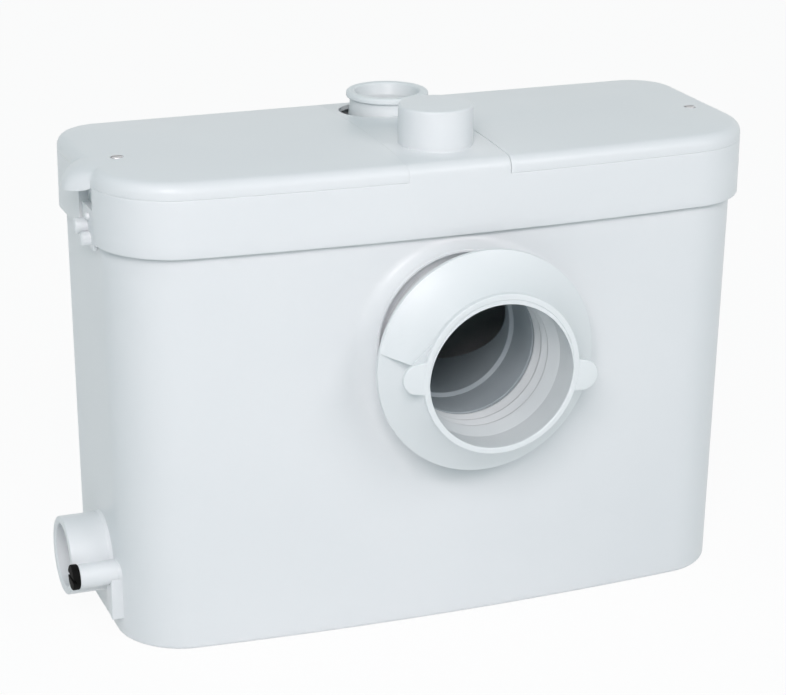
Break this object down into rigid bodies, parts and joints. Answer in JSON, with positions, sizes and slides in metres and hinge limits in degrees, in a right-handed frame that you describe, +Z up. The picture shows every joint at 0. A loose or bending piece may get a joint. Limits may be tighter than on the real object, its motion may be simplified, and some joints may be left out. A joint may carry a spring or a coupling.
{
  "type": "macerator toilet pump",
  "caption": "Low white macerator and pump unit that sits behind a toilet: round soft pan inlet in front, side waste inlet, upright outlet, and a lid with lift-off covers.",
  "frame": {"origin": "middle of the tank's underside, on the floor that it stands on", "axes": "+X along the tank's length towards the pump motor, -Y out of the pan inlet, +Z up"},
  "size_m": [0.4823, 0.2259, 0.3543],
  "materials": {
    "white_abs": "satin moulded",
    "white_rubber": "soft satin",
    "grey_pipe": "satin moulded",
    "grey_plastic": "moulded",
    "black_plastic": "moulded",
    "black_rubber": "matt",
    "ivory_plastic": "moulded",
    "amber_plastic": "moulded",
    "steel": "zinc plated",
    "blade_steel": "brushed",
    "shaft_steel": "ground",
    "can_metal": "drawn",
    "lamination": "stacked sheet",
    "copper": "varnished wire",
    "brass": "turned",
    "bearing_steel": "polished",
    "charcoal_felt": "felted"
  },
  "bodies": {
    "housing": {"tank": "white_abs", "main_lid": "white_abs", "lid_gasket": "black_rubber", "lid_screws": "steel", "carbon_filter": "charcoal_felt", "discharge_spout": "white_rubber", "pan_connector": "white_rubber", "inlet_tube": "grey_pipe", "side_flap_pin": "steel", "cord_grip": "white_abs", "side_inlet": "white_abs", "macerator_well": "black_plastic", "pump_well": "black_plastic", "grinder_basket": "grey_plastic", "volute": "grey_plastic", "suction_plate": "grey_plastic", "volute_screws": "steel", "motor_screws": "steel", "riser_pipe": "grey_plastic", "valve_body": "grey_plastic", "check_flap_pin": "steel", "pressure_bell": "grey_plastic", "switch_membrane": "black_rubber", "pressure_switch": "black_plastic", "microswitch": "black_plastic", "run_capacitors": "can_metal", "terminal_block": "ivory_plastic", "macerator_can": "can_metal", "macerator_end_bell": "can_metal", "macerator_stator": "lamination", "macerator_windings": "copper", "macerator_bearings": "bearing_steel", "macerator_seal": "black_rubber", "pump_can": "can_metal", "pump_end_bell": "can_metal", "pump_stator": "lamination", "pump_windings": "copper", "pump_bearings": "bearing_steel", "pump_seal": "black_rubber"},
    "left_cover": {"left_cover": "white_abs", "left_cover_screw": "steel"},
    "right_cover": {"right_cover": "white_abs", "right_cover_screw": "steel"},
    "vent_cap": {"vent_cap": "white_abs"},
    "spigot_plug": {"spigot_plug": "black_plastic"},
    "side_flap": {"side_flap": "black_rubber"},
    "check_flap": {"check_flap": "black_rubber"},
    "macerator_spindle": {"macerator_shaft": "shaft_steel", "macerator_rotor": "lamination", "macerator_blade": "blade_steel", "macerator_blade_nut": "brass"},
    "pump_spindle": {"pump_shaft": "shaft_steel", "pump_rotor": "lamination", "impeller": "amber_plastic", "impeller_nut": "steel"},
    "switch_plunger": {"switch_plunger": "ivory_plastic"}
  },
  "joints": [
    {"name": "macerator_spin", "type": "hinge", "parent": "housing", "child": "macerator_spindle", "pos_m": [-0.128, -0.004, 0.1], "axis": [0, 0, 1], "continuous": true},
    {"name": "pump_spin", "type": "hinge", "parent": "housing", "child": "pump_spindle", "pos_m": [0.128, -0.004, 0.1], "axis": [0, 0, 1], "continuous": true},
    {"name": "side_flap_swing", "type": "hinge", "parent": "housing", "child": "side_flap", "pos_m": [-0.20982, -0.002, 0.0761], "axis": [0, -1, 0], "range_deg": [0, 26]},
    {"name": "check_flap_swing", "type": "hinge", "parent": "housing", "child": "check_flap", "pos_m": [0.0028, 0.066, 0.266], "axis": [-1, 0, 0], "range_deg": [0, 55]},
    {"name": "left_cover_lift", "type": "slide", "parent": "housing", "child": "left_cover", "axis": [0, 0, 1], "range_m": [0, 0.06]},
    {"name": "right_cover_lift", "type": "slide", "parent": "housing", "child": "right_cover", "axis": [0, 0, 1], "range_m": [0, 0.06]},
    {"name": "vent_cap_lift", "type": "slide", "parent": "housing", "child": "vent_cap", "axis": [0, 0, 1], "range_m": [0, 0.03]},
    {"name": "spigot_plug_pull", "type": "slide", "parent": "housing", "child": "spigot_plug", "axis": [-1, 0, 0], "range_m": [0, 0.02]},
    {"name": "switch_plunger_travel", "type": "slide", "parent": "housing", "child": "switch_plunger", "axis": [0, 0, 1], "range_m": [0, 0.0025], "stiffness_N_per_m": 60}
  ]
}
